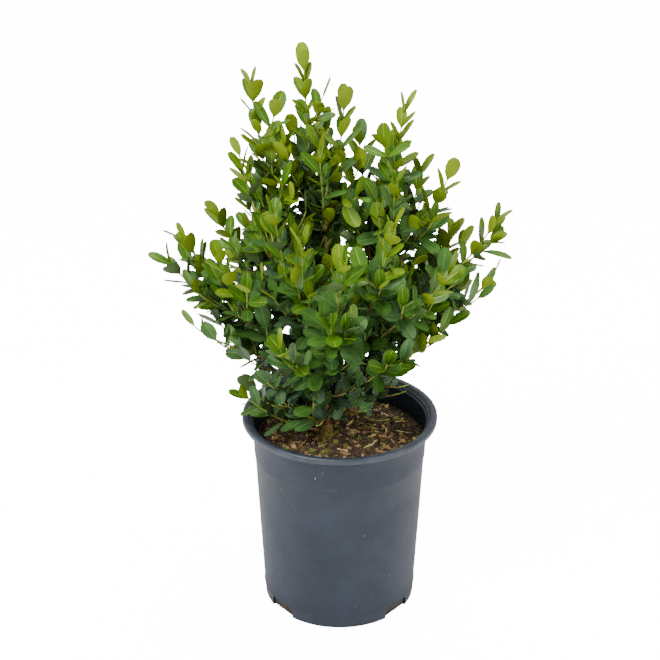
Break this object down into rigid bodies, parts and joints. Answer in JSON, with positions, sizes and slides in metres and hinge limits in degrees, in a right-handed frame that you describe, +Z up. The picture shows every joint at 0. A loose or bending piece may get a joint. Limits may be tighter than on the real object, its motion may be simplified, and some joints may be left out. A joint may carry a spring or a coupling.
{
  "type": "potted boxwood shrub",
  "caption": "Young evergreen boxwood shrub with a short trunk, spreading boughs and leafy shoots, standing in a filled round plastic nursery pot.",
  "frame": {"origin": "centre of the pot's flat underside", "axes": "+Z up along the pot's axis, -Y towards the side seen in the picture"},
  "size_m": [0.2979, 0.2601, 0.5003],
  "materials": {
    "pot_plastic": "grey-black moulded plastic, dusty",
    "potting_soil": "dark brown bark and peat mix, matt",
    "boxwood_bark": "yellow-brown fine bark",
    "boxwood_foliage": "green leaves with a soft shine"
  },
  "bodies": {
    "root": {"pot": "pot_plastic", "root_ball": "potting_soil", "trunk": "boxwood_bark", "bough_top": "boxwood_bark", "bough_upper_left": "boxwood_bark", "bough_upper_right": "boxwood_bark", "bough_back": "boxwood_bark", "bough_left": "boxwood_bark", "bough_front_left": "boxwood_bark", "bough_front_right": "boxwood_bark", "bough_right": "boxwood_bark", "bough_back_right": "boxwood_bark", "bough_back_left": "boxwood_bark", "bough_left_low": "boxwood_bark", "bough_front": "boxwood_bark", "bough_right_low": "boxwood_bark", "foliage_top": "boxwood_foliage", "foliage_upper_middle": "boxwood_foliage", "foliage_upper_left": "boxwood_foliage", "foliage_left_high": "boxwood_foliage", "foliage_upper_right": "boxwood_foliage", "foliage_right_high": "boxwood_foliage", "foliage_right": "boxwood_foliage", "foliage_right_middle": "boxwood_foliage", "foliage_left": "boxwood_foliage", "foliage_left_middle": "boxwood_foliage", "foliage_left_low": "boxwood_foliage", "foliage_left_front": "boxwood_foliage", "foliage_left_back": "boxwood_foliage", "foliage_front_left": "boxwood_foliage", "foliage_front_middle": "boxwood_foliage", "foliage_front_right": "boxwood_foliage", "foliage_front_far_right": "boxwood_foliage", "foliage_front": "boxwood_foliage", "foliage_front_low": "boxwood_foliage", "foliage_front_low_right": "boxwood_foliage", "foliage_right_bottom": "boxwood_foliage", "foliage_back_left": "boxwood_foliage", "foliage_back": "boxwood_foliage", "foliage_back_low": "boxwood_foliage", "foliage_back_right": "boxwood_foliage", "foliage_back_low_right": "boxwood_foliage", "foliage_low_left": "boxwood_foliage", "foliage_low_front": "boxwood_foliage", "foliage_low_back": "boxwood_foliage"}
  },
  "joints": []
}
